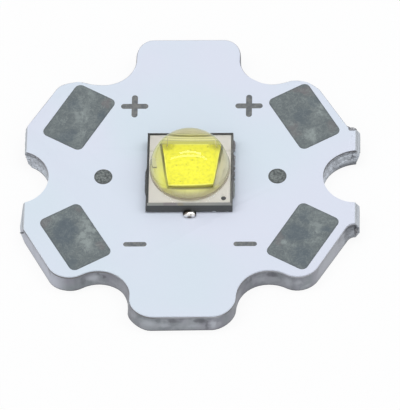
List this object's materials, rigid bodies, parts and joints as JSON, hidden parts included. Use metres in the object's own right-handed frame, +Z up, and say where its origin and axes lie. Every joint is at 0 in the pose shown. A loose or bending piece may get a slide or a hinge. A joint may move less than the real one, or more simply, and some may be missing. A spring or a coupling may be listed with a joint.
{
  "type": "star pcb power led",
  "caption": "Star-shaped aluminium-core circuit board with screw notches, tinned wire pads and a domed power LED soldered at its centre.",
  "frame": {"origin": "centre of the printed pattern and the LED, on the board's bottom face", "axes": "+Z up through the dome, +Y to the plus marks, +X to the snapped end on the right in the picture"},
  "size_m": [0.0198, 0.0198, 0.0047],
  "materials": {
    "aluminium_core": "milled edges with smears, satin faces",
    "insulation": "filled resin",
    "copper": "plain copper under the mask",
    "white_mask": "satin white ink",
    "tinned_pad": "clouded tin",
    "tinned_mark": "clouded tin",
    "solder": "bright solder",
    "contact_plating": "gold flash",
    "ceramic": "dark, snapped sides",
    "bright_plating": "cream reflective plating",
    "chip": "semiconductor",
    "phosphor": "yellow powder in silicone",
    "gold_wire": "drawn gold",
    "diode": "semiconductor",
    "silicone": "clear silicone"
  },
  "bodies": {
    "root": {"aluminium_base": "aluminium_core", "dielectric_layer": "insulation", "copper_positive": "copper", "copper_thermal": "copper", "copper_negative": "copper", "solder_mask": "white_mask", "wire_pad_positive_left": "tinned_pad", "wire_pad_positive_right": "tinned_pad", "wire_pad_negative_left": "tinned_pad", "wire_pad_negative_right": "tinned_pad", "fiducial_left": "tinned_pad", "fiducial_right": "tinned_pad", "plus_mark_left": "tinned_mark", "plus_mark_right": "tinned_mark", "minus_mark_left": "tinned_mark", "minus_mark_right": "tinned_mark", "anode_solder_joint": "solder", "thermal_solder_joint": "solder", "cathode_solder_joint": "solder", "anode_contact": "contact_plating", "thermal_contact": "contact_plating", "cathode_contact": "contact_plating", "ceramic_substrate": "ceramic", "cathode_plating": "bright_plating", "anode_land": "bright_plating", "die_attach": "solder", "led_die": "chip", "phosphor_layer": "phosphor", "bond_wire_left": "gold_wire", "bond_wire_right": "gold_wire", "protection_diode": "diode", "silicone_lens": "silicone"}
  },
  "joints": []
}
